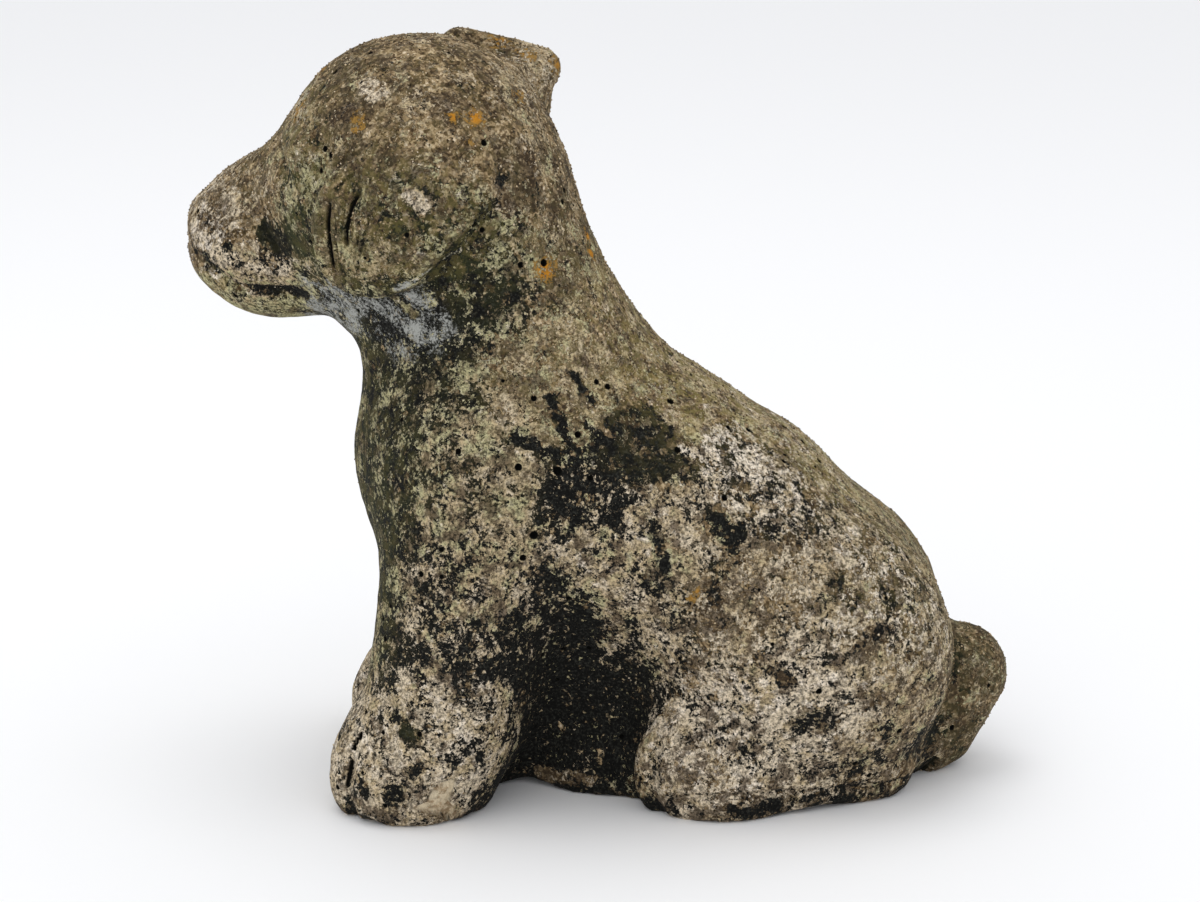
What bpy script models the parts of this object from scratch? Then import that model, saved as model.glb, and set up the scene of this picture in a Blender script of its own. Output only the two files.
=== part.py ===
"""A seated puppy, cast in one piece in concrete as a garden ornament.

Metres, +Z up. The puppy faces -X, with its left side at -Y. It stands on z = 0, and the origin
is under the middle of its bounding box. Plain rounded masses are melted together into one skin,
which is then carved with the ears, eyes, mouth, ear folds and toes.
"""

import math

import bmesh
import bpy
import numpy as np
from mathutils import Matrix

# Driving sizes, in metres and degrees
HEIGHT = 0.254
HEAD_TURN = 20.0
EAR_THICKNESS = 0.006
EYE_SOCKET_DEPTH = 0.0018
MOUTH_DEPTH = 0.0018
EAR_FOLD_DEPTH = 0.0024
TOE_DEPTH = 0.0026
MOST_TRIANGLES = 9400

# The masses and lines below are drawn in units, TALL of them to the puppy's height.
TALL = 254.0
UNIT = HEIGHT / TALL
GRID = 1.8
GROUND_MERGE = 1e-5

CONCRETE = (0.33, 0.29, 0.22, 1.0)
CONCRETE_ROUGHNESS = 0.92


def ball(centre, radii, blend=12.0):
    """An egg-shaped mass: its centre, its half sizes and how softly it joins the rest."""
    return {
        "kind": "ball",
        "centre": np.array(centre, float),
        "radii": np.array(radii, float),
        "blend": blend,
    }


def limb(start, end, start_radius, end_radius, blend=12.0):
    """A tapering round mass between two points."""
    return {
        "kind": "limb",
        "start": np.array(start, float),
        "end": np.array(end, float),
        "radii": (start_radius, end_radius),
        "blend": blend,
    }


def both_sides(*masses):
    """Each mass, and its mirror image across the middle plane."""
    flip = np.array((1.0, -1.0, 1.0))
    pairs = []
    for mass in masses:
        other = dict(mass)
        for key in ("centre", "start", "end"):
            if key in mass:
                other[key] = mass[key] * flip
        pairs += [mass, other]
    return pairs


# The head is drawn about the middle of the skull with its nose toward -X, and then turned.
HEAD_CENTRE = np.array((-59.5, 2.0, 205.0))
HEAD = [
    ball((0, 0, 0), (48, 45, 48)),  # skull
    limb((-18, 0, -5), (-54, 0, -13), 31, 19.5, 11),  # bridge of the nose
    ball((-58.5, 0, -24), (27, 23, 24.5), 7),  # muzzle
    limb((-10, 0, -21), (-50, 0, -27), 27, 22, 9),  # jaw
    ball((-78, 0, -14.5), (6.5, 9.5, 6.5), 2),  # nose
    limb((2, 30, 41.8), (29, 37, 33.8), 5.5, 7.0, 4),  # fold of the right ear
    ball((23, 31, 28), (11, 12, 10), 5),  # root of the right ear
]

BODY = [
    limb((-43, 0, 188), (-26, 0, 130), 37, 44, 14),  # neck
    ball((-43, 0, 150), (34.5, 34, 28), 10),  # throat
    ball((-73, 4, 160), (11, 18, 9), 12),  # under the jaw
    ball((-37, 0, 112), (46, 43, 50), 14),  # chest
    limb((-18, 0, 138), (20, 0, 98), 33.5, 38.5, 14),  # withers
    limb((20, 0, 98), (56, 0, 62), 41, 48.5, 14),  # back
    ball((50, 0, 93), (30, 38, 30), 10),  # loin
    ball((67, 0, 51), (51, 42, 40), 14),  # rump
    limb((-36, 0, 6), (-30, 0, 90), 24, 32, 14),  # web between the front legs
    limb((2, 0, 2), (0, 0, 84), 22, 44, 14),  # web under the belly
    limb((8, 0, 4), (98, 0, 12), 35, 22, 12),  # seat
    *both_sides(
        limb((-37, -24, 114), (-51, -36, 34), 31, 27, 16),  # front leg
        limb((-6, -18, 104), (44, -23, 74), 32, 33, 18),  # flank
        ball((67, -26, 47), (51, 32, 46.5), 16),  # haunch
        ball((34, -40, 14), (24, 18, 24), 8),  # hind paw
        limb((44, -40, 8), (92, -25, 8), 18, 14, 8),  # hind foot
    ),
    ball((-63, -39, 12), (28, 24, 27)),  # left front paw
    ball((-61, 39, 10.5), (29, 24, 24)),  # right front paw
    limb((116, 0, 14), (124.5, 1, 33), 15.3, 16.8, 8),  # tail
]

# Carving on the head, as lines in its side view
EAR_EDGE = [(-16, 3), (-20, -8), (-20, -19), (-16, -28), (-8, -32), (2, -33), (16, -27.5)]
LEFT_EAR = EAR_EDGE + [(31, -11), (40, 2), (34, 24), (12, 30), (2, 19), (-10, 10)]
RIGHT_EAR = EAR_EDGE + [(26, -8), (31, 10), (29, 36), (-3, 45), (-12, 24)]
EAR_FOLDS = [
    [(-11, -1), (-12, -8), (-12, -15), (-11.5, -22)],
    [(-0.5, 3), (-3.5, -3), (-5.3, -9), (-5.5, -15)],
]
EYE = (-23, 10.5)
LIP_FRONT = [(-92, -23), (-80, -24)]
MOUTH = [(-76, -26.5), (-68, -31), (-62.5, -34.7), (-56, -36.7), (-46, -37.1), (-36, -36.8)]
LIP_CORNER = [(-48, -13), (-44, -19), (-41, -25)]
CHEEK = [(-42, 14), (-39, 10), (-34, 5)]

# Each paw: its middle in plan, and where its toe grooves start and end going forward
PAWS = [((-61, -39), 17, 34), ((34, -40), 11, 24)]
TOE_ANGLES = (-34, -2, 30)
TOE_TOP = 32


def ball_distance(mass, points):
    """Signed distance from an egg-shaped mass, negative inside it."""
    offset = (points - mass["centre"]) / mass["radii"]
    scaled = np.linalg.norm(offset, axis=1)
    steep = np.linalg.norm(offset / mass["radii"], axis=1)
    return scaled * (scaled - 1) / np.maximum(steep, 1e-9)


def limb_distance(mass, points):
    """Signed distance from a tapering round mass, negative inside it."""
    start, end = mass["start"], mass["end"]
    first, last = mass["radii"]
    along = end - start
    length = np.linalg.norm(along)
    along = along / length
    lean = (first - last) / length
    upright = math.sqrt(1 - lean * lean)
    offset = points - start
    rise = offset @ along
    side = np.sqrt(np.maximum(np.sum(offset * offset, axis=1) - rise * rise, 0))
    share = rise * upright - side * lean
    return np.where(
        share < 0,
        np.hypot(side, rise) - first,
        np.where(
            share > length * upright,
            np.hypot(side, rise - length) - last,
            side * upright + rise * lean - first,
        ),
    )


def distance(mass, points):
    if mass["kind"] == "ball":
        return ball_distance(mass, points)
    return limb_distance(mass, points)


def melt(a, b, blend):
    """The union of two distances, with a round fillet where they meet."""
    near = np.maximum(blend - np.abs(a - b), 0) / blend
    return np.minimum(a, b) - near * near * blend / 4


def overlap(a, b, blend):
    """What two distances have in common, with a round edge where they meet."""
    return -melt(-a, -b, blend)


def skin(masses, points):
    total = distance(masses[0], points)
    for mass in masses[1:]:
        total = melt(total, distance(mass, points), mass["blend"])
    return total


def line_distance(points, line):
    """Distance of flat points from an open line."""
    nearest = np.full(len(points), np.inf)
    for start, end in zip(line[:-1], line[1:]):
        start = np.array(start, float)
        along = np.array(end, float) - start
        offset = points - start
        share = np.clip(offset @ along / (along @ along), 0, 1)
        nearest = np.minimum(nearest, np.linalg.norm(offset - share[:, None] * along, axis=1))
    return nearest


def outline_distance(points, outline):
    """Signed distance of flat points from a closed outline, negative inside it."""
    loop = outline + outline[:1]
    inside = np.zeros(len(points), bool)
    for (x0, y0), (x1, y1) in zip(loop[:-1], loop[1:]):
        if y0 == y1:
            continue
        spans = (points[:, 1] < y0) != (points[:, 1] < y1)
        crossing = x0 + (points[:, 1] - y0) * (x1 - x0) / (y1 - y0)
        inside ^= spans & (points[:, 0] < crossing)
    reach = line_distance(points, loop)
    return np.where(inside, -reach, reach)


def groove(reach, width, depth):
    """How far a rounded groove sinks at a distance from its middle; depth is in metres."""
    return depth / UNIT * np.exp(-((reach / width) ** 2))


def ease(share):
    share = np.clip(share, 0, 1)
    return share * share * (3 - 2 * share)


def ears(total, side, left):
    """Lifts the hanging ears off the head inside their outlines. The left one fades out upward."""
    thick = EAR_THICKNESS / UNIT
    left_lift = thick * left * ease((30 - side[:, 1]) / 50)
    right_lift = thick * (1 - left)
    for outline, lift in ((LEFT_EAR, left_lift), (RIGHT_EAR, right_lift)):
        flap = overlap(total - lift, outline_distance(side, outline), 2.0)
        total = melt(total, flap, 1.5)
    return total


def eyes(total, local, side):
    """Worn eyes, each a low ball in a shallow socket."""
    total = total + groove(np.hypot(side[:, 0] - EYE[0], side[:, 1] - EYE[1]), 9, EYE_SOCKET_DEPTH)
    folded = local * (1, 0, 1) - np.abs(local) * (0, 1, 0)
    return melt(total, ball_distance(ball((EYE[0], -33, EYE[1]), (9.5, 5.3, 8)), folded), 4)


def face(total, side):
    total = total + groove(line_distance(side, MOUTH), 2.4, MOUTH_DEPTH)
    total = total + groove(line_distance(side, LIP_FRONT), 2.2, MOUTH_DEPTH / 2)
    total = total + groove(line_distance(side, LIP_CORNER), 3.5, MOUTH_DEPTH * 0.7)
    return total + groove(line_distance(side, CHEEK), 3.5, MOUTH_DEPTH * 0.7)


def toes(points, middle, start, end):
    """Grooves between the toes, fanning forward from the middle of a paw."""
    flat = np.stack((points[:, 0], -np.abs(points[:, 1])), axis=1)
    carved = np.zeros(len(points))
    for angle in TOE_ANGLES:
        c, s = math.cos(math.radians(angle)), math.sin(math.radians(angle))
        line = [(middle[0] - reach * c, middle[1] + reach * s) for reach in (start, end)]
        carved += groove(line_distance(flat, line), 2.3, TOE_DEPTH)
    return carved * ease((TOE_TOP - points[:, 2]) / 10)


def head_axes():
    return np.array(Matrix.Rotation(math.radians(-HEAD_TURN), 3, "Z"))


def surface(points):
    """Signed distance from the whole carved puppy, negative inside it."""
    local = (points - HEAD_CENTRE) @ head_axes()
    side = local[:, ::2]
    left = ease(-local[:, 1] / 10)
    total = melt(skin(BODY, points), skin(HEAD, local), 10)
    total = ears(total, side, left)
    total = eyes(total, local, side)
    total = face(total, side)
    for fold in EAR_FOLDS:
        total = total + left * groove(line_distance(side, fold), 2.5, EAR_FOLD_DEPTH)
    for middle, start, end in PAWS:
        total = total + toes(points, middle, start, end)
    return total


def slope(points):
    step = 0.05
    rise = [surface(points + move) - surface(points - move) for move in np.eye(3) * step]
    gradient = np.stack(rise, axis=1)
    return gradient / np.maximum(np.linalg.norm(gradient, axis=1, keepdims=True), 1e-12)


def settle(mesh, rounds):
    """Moves a mesh's vertices along the slope until they lie on the surface."""
    points = np.empty(len(mesh.vertices) * 3, np.float32)
    mesh.vertices.foreach_get("co", points)
    points = points.reshape(-1, 3).astype(float)
    for _ in range(rounds):
        points = points - slope(points) * surface(points)[:, None] * 0.9
    mesh.vertices.foreach_set("co", points.astype(np.float32).ravel())
    mesh.update()


def round_points():
    """Points all over a ball of radius 1."""
    bm = bmesh.new()
    bmesh.ops.create_icosphere(bm, subdivisions=4, radius=1.0)
    points = np.array([vertex.co for vertex in bm.verts])
    bm.free()
    return points


def mass_points(mass, unit_ball):
    if mass["kind"] == "ball":
        return unit_ball * mass["radii"] + mass["centre"]
    ends = zip((mass["start"], mass["end"]), mass["radii"])
    return np.vstack([unit_ball * radius + centre for centre, radius in ends])


def hull(points):
    """A plain closed solid stretched over a cloud of points."""
    bm = bmesh.new()
    for point in points:
        bm.verts.new(point)
    made = bmesh.ops.convex_hull(bm, input=bm.verts)
    inner = {item for item in made["geom_interior"] + made["geom_unused"]
             if isinstance(item, bmesh.types.BMVert)}
    bmesh.ops.delete(bm, geom=list(inner), context="VERTS")
    mesh = bpy.data.meshes.new("mass")
    bm.to_mesh(mesh)
    bm.free()
    return mesh


def rough_figure():
    """All the masses as plain overlapping solids in one mesh."""
    unit_ball = round_points()
    clouds = [mass_points(mass, unit_ball) @ head_axes().T + HEAD_CENTRE for mass in HEAD]
    clouds += [mass_points(mass, unit_ball) for mass in BODY]
    bm = bmesh.new()
    for cloud in clouds:
        mesh = hull(cloud)
        bm.from_mesh(mesh)
        bpy.data.meshes.remove(mesh)
    mesh = bpy.data.meshes.new("rough")
    bm.to_mesh(mesh)
    bm.free()
    return mesh


def modified(mesh, kind, **settings):
    """The mesh after one modifier; the old mesh is dropped."""
    work = bpy.data.objects.new("work", mesh)
    bpy.context.scene.collection.objects.link(work)
    modifier = work.modifiers.new("Step", kind)
    for name, value in settings.items():
        setattr(modifier, name, value)
    graph = bpy.context.evaluated_depsgraph_get()
    result = bpy.data.meshes.new_from_object(work.evaluated_get(graph))
    bpy.data.objects.remove(work)
    bpy.data.meshes.remove(mesh)
    return result


def cut_flat(mesh):
    """Cuts the figure off flat at the ground and closes the underside."""
    bm = bmesh.new()
    bm.from_mesh(mesh)
    bmesh.ops.bisect_plane(
        bm, geom=bm.verts[:] + bm.edges[:] + bm.faces[:], dist=GROUND_MERGE,
        plane_co=(0, 0, 0), plane_no=(0, 0, -1), clear_outer=True)
    rim = [edge for edge in bm.edges if edge.is_boundary]
    bmesh.ops.holes_fill(bm, edges=rim, sides=0)
    bm.to_mesh(mesh)
    bm.free()


def thinned(mesh):
    """The mesh with no more triangles than it is meant to have."""
    triangles = sum(len(face.vertices) - 2 for face in mesh.polygons)
    return modified(mesh, "DECIMATE", ratio=min(1.0, MOST_TRIANGLES / triangles))


def stand(mesh):
    """Scales the mesh to its height and puts the origin under the middle of its box."""
    points = np.empty(len(mesh.vertices) * 3, np.float32)
    mesh.vertices.foreach_get("co", points)
    points = points.reshape(-1, 3).astype(float)
    low, high = points.min(axis=0), points.max(axis=0)
    points -= ((low[0] + high[0]) / 2, (low[1] + high[1]) / 2, low[2])
    points *= HEIGHT / (high[2] - low[2])
    mesh.vertices.foreach_set("co", points.astype(np.float32).ravel())
    mesh.update()


def concrete():
    material = bpy.data.materials.new("weathered_concrete")
    material.use_nodes = True
    shader = material.node_tree.nodes["Principled BSDF"]
    shader.inputs["Base Color"].default_value = CONCRETE
    shader.inputs["Roughness"].default_value = CONCRETE_ROUGHNESS
    shader.inputs["Metallic"].default_value = 0.0
    return material


def puppy():
    mesh = modified(rough_figure(), "REMESH", mode="VOXEL", voxel_size=GRID * 1.6)
    settle(mesh, 5)
    mesh = modified(mesh, "REMESH", mode="VOXEL", voxel_size=GRID)
    settle(mesh, 3)
    cut_flat(mesh)
    mesh = thinned(mesh)
    stand(mesh)
    mesh.name = "puppy"
    mesh.materials.append(concrete())
    mesh.shade_smooth()
    mesh.set_sharp_from_angle(angle=math.radians(50))
    made = bpy.data.objects.new("puppy", mesh)
    bpy.context.scene.collection.objects.link(made)


def main():
    for item in list(bpy.data.objects):
        bpy.data.objects.remove(item, do_unlink=True)
    puppy()


if __name__ == "__main__":
    main()
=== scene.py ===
"""A weathered cast-stone garden puppy: the worn casting, what grows on it, and its studio."""

import math

import bmesh
import bpy
import numpy as np
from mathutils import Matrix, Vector, kdtree, noise


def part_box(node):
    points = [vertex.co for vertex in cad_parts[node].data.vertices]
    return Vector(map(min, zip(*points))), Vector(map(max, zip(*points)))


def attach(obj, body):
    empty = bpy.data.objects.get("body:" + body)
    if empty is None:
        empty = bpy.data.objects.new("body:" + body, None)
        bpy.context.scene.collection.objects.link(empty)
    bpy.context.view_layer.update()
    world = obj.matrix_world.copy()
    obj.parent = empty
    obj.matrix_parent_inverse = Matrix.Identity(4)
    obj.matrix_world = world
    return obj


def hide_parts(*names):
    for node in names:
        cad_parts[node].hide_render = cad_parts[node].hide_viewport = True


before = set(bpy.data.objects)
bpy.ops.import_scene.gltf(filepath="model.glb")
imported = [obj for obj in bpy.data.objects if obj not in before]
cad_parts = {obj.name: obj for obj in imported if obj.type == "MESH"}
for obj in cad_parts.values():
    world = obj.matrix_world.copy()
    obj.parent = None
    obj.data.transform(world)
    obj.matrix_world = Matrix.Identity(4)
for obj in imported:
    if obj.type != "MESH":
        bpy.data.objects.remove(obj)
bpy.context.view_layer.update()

# The statue is this many units high, so one unit is close to a millimetre. Places and sizes are in units.
UNITS_HIGH = 253
LOW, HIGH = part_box("puppy")
UNIT = (HIGH.z - LOW.z) / UNITS_HIGH
RANDOM_SEED = 11

# The casting's mesh: its first grid, how far round the crisp details each finer one reaches, the height
# under which points are set on the ground, and how many triangles are kept
GRID = 1.1
FINE_MARGINS = (1.6, 0.9)
GROUND_HEIGHT = 0.35
MOST_TRIANGLES = 196000

# The worn skin: size, height and seed of each set of lumps. Then the height of those on broken faces.
WEAR = ((16, 0.45, 1), (7, 0.28, 2), (3.2, 0.16, 3))
BROKEN_RELIEF = 0.3

# Coarse sand grains that stand out of the bare concrete: how many to a square unit, their radius, how
# much they are stretched along each axis, how far they turn, and the height above which they start
GRAIN_DENSITY = 0.16
GRAIN_RADIUS = 0.37
GRAIN_STRETCH = ((0.5, 0.5, 0.5), (1.4, 1.4, 1.2))
GRAIN_TURN = (6.283, 6.283, 6.283)
LOWEST_GRAIN = 8

# The head's own frame, from its middle: x runs backwards, y to the puppy's right, z up
HEAD_CENTRE = np.array((-59.5, 2.0, 205.0))
HEAD_TURN = math.radians(20)
HEAD_AXES = np.array(
    (
        (math.cos(HEAD_TURN), -math.sin(HEAD_TURN), 0),
        (math.sin(HEAD_TURN), math.cos(HEAD_TURN), 0),
        (0, 0, 1),
    )
)

# Crisp carving in the head's side view: line, half width, depth. The first group is on the left side alone.
EAR_SLOTS = [
    ([(-18.6, -2), (-19.4, -9), (-19.5, -17), (-18.8, -23), (-17, -27)], 1.1, 1.2),
    ([(-11, 0), (-12, -7), (-12, -13.5), (-12, -19.5), (-11.4, -24)], 0.9, 2.0),
    ([(-0.2, 3.8), (-3.2, -2), (-4, -5), (-5.4, -10), (-5.3, -16)], 0.9, 1.8),
    ([(-8.6, -6), (-9.4, -12), (-9, -19), (-6, -26)], 0.8, 0.7),
    ([(4, -1), (3, -8), (-0.5, -17), (-2.6, -25)], 0.9, 0.7),
    ([(0, -10), (-1.5, -15), (-2.8, -20)], 0.7, 0.8),
    ([(-17, 0), (-14.6, 5.5), (-10.9, 9.1), (-5.7, 13.1), (1, 16.8)], 1.1, 0.9),
    ([(-9.2, 2.8), (-5.8, 6.1), (-2.3, 9)], 0.8, 0.7),
]
FACE_SLOTS = [
    ([(-72, -29), (-66.8, -31.8), (-62, -34.9), (-56, -36.7), (-46, -37.1), (-36, -36.8)], 1.7, 0.6),
    ([(-61.5, -21.5), (-59, -25), (-57, -28.5)], 0.8, 0.5),
    ([(-48, -13), (-44.5, -19), (-40, -24)], 1.8, 0.9),
    ([(-41.6, 13), (-38.6, 10.6), (-34.5, 6.3)], 1.2, 0.9),
]

# Where that carving can lie, in the head's own frame: how far along and up, how low, and how far left
# the ear is. A groove of the full depth is wholly dark with painted shade.
HEAD_REACH = (95, 60)
HEAD_BOTTOM = -50
EAR_SIDE = -12
FULL_DEPTH = 2

# Crisp carving on the left feet, in the statue's side view: line, half width, depth, how dark its painted
# shade is
FOOT_SLOTS = [
    ([(-81.7, 21.5), (-82.4, 17.2), (-83.2, 13.5), (-84, 10)], 1.0, 1.7, 0.9),
    ([(18, 9), (39, 10.2), (53, 9.8), (75, 8), (97, 6.4), (106, 6)], 1.7, 1.0, 0.2),
]

# Where that carving can lie: how high, and how far left on the front foot and on the hind foot
FOOT_HEIGHT = 40
FOOT_SIDES = (-44, -20)

# How much of a groove's length, at each end, it takes to reach its full depth
GROOVE_RUN_OUT = 0.18

# The fresh chip on the left front paw, in the side view
CHIP_OUTLINE = [
    (-61.8, 7.9), (-56.6, 9.9), (-55.5, 13.6), (-51.2, 16.9), (-47.2, 17.4), (-48.4, 12.4),
    (-49.5, 8.7), (-47.0, 4.3), (-50.1, 0.0), (-52.5, 3.7), (-58.9, 6.7),
]

# The corner of space that holds the chip, and the inside that places far from it are given
CHIP_CORNER = (-42, -50, 22)
FAR_OUTSIDE = -9.0

# The chip's two facets: depth at the edge, fall for each unit inwards, fall for each step away from the
# ridge, greatest depth, and the ridge as a line in the side view: along, up and shift
CHIP_EDGE_DEPTH = 0.8
CHIP_INWARD_FALL = 0.2
CHIP_RIDGE_FALL = 0.4
CHIP_DEPTH = 2.6
CHIP_RIDGE = (0.5, 0.8, 36)

# Air bubbles that burst at the surface: place and radius
BUBBLES = [
    ((-26.2, -54.1, 121.5), 1.2),
    ((-14.1, -52.4, 119.1), 1.4),
    ((-20.9, -54.3, 98.6), 1.4),
    ((-58.2, -53.1, 85.7), 1.0),
    ((-21.5, -45.1, 141.7), 1.0),
    ((-7.4, -46.5, 130.5), 1.1),
    ((2.3, -35.4, 143.3), 1.0),
    ((-1.0, -36.3, 144.8), 0.9),
    ((-24.8, -54.3, 90.2), 1.1),
    ((25.0, -39.6, 123.3), 1.1),
    ((71.4, -11.0, 110.4), 1.2),
    ((66.2, -7.2, 115.0), 1.0),
    ((60.2, -5.4, 120.4), 1.0),
    ((49.0, -19.8, 124.9), 1.0),
    ((23.2, -27.2, 136.2), 1.2),
    ((-36.7, -36.0, 222.9), 1.1),
    ((-25.6, -34.7, 183.3), 1.0),
    ((-18.7, -30.8, 183.2), 1.2),
    ((-40.3, -40.9, 198.1), 1.1),
    ((-87.7, -29.2, 219.9), 1.0),
    ((-86.2, -32.0, 217.8), 0.9),
    ((-78.8, -52.2, 28.8), 1.4),
    ((-79.9, -51.8, 27.2), 1.3),
    ((-81.0, -51.2, 24.4), 1.1),
    ((-71.3, -58.0, 33.0), 0.7),
]

# More of them by chance: how many, their radii, how low they start and how far down they may face
RANDOM_BUBBLES = 150
RANDOM_RADII = (0.45, 1.0)
LOWEST_BUBBLE = 6
BUBBLE_OVERHANG = -0.6

# The nostrils are bowls too: place of the right one in the head's own frame, and radius
NOSTRIL = (-76, 4.5, -11)
NOSTRIL_RADIUS = 1.6

# A bowl's depth as a share of its radius, and how fast its painted shade darkens from its rim
BOWL_DEPTH = 1.5
BOWL_DARKENING = 1.6

# Places knocked flat: middle, depth below the old surface, greatest width
CHIPS = [
    ((-84.0, -40.0, 4.0), 1.0, 7),
    ((27.0, -57.0, 3.0), 1.0, 7),
    ((60.0, -58.0, 2.0), 1.2, 9),
    ((-72.0, 55.0, 4.0), 1.3, 9),
    ((44.0, 60.0, 3.0), 1.2, 8),
    ((110.0, -18.0, 2.0), 1.2, 8),
    ((-11.0, 30.0, 246.0), 0.9, 6),
]

# Spots of orange lichen: place, radius, and how bright. They fade out at this many radii.
ORANGE_REACH = 1.3
ORANGE_SPOTS = [
    ((-46.7, -35.7, 230.8), 2.2, 1.0),
    ((-39.8, -32.6, 230.3), 3.6, 1.0),
    ((-25.8, -14.6, 234.8), 3.6, 0.6),
    ((-41.0, -38.1, 222.9), 2.0, 0.55),
    ((-17.7, -31.9, 180.8), 4.4, 1.0),
    ((-4.4, -10.0, 188.0), 2.6, 1.0),
    ((-2.8, -12.6, 182.5), 2.8, 1.0),
    ((-77.3, -32.4, 230.3), 2.6, 0.6),
    ((-76.9, -34.3, 227.4), 2.6, 0.65),
    ((-91.0, 1.0, 240.9), 3.6, 0.7),
    ((-98.1, -9.8, 229.3), 4.0, 0.65),
    ((29.1, -55.6, 77.1), 1.6, 0.8),
    ((31.5, -55.8, 80.5), 1.9, 0.8),
    ((-33.5, 24.5, 247.9), 4.2, 0.7),
    ((-24.9, 20.0, 244.5), 4.0, 0.65),
    ((-13.6, 22.8, 240.0), 4.2, 0.7),
    ((-16.4, -27.5, 184.0), 2.4, 0.7),
    ((28.0, 20.0, 140.0), 5.0, 0.9),
    ((70.0, 24.0, 108.0), 4.0, 0.8),
    ((-40.0, 40.0, 222.0), 4.5, 0.9),
    ((95.0, 10.0, 88.0), 4.2, 0.7),
]

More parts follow.
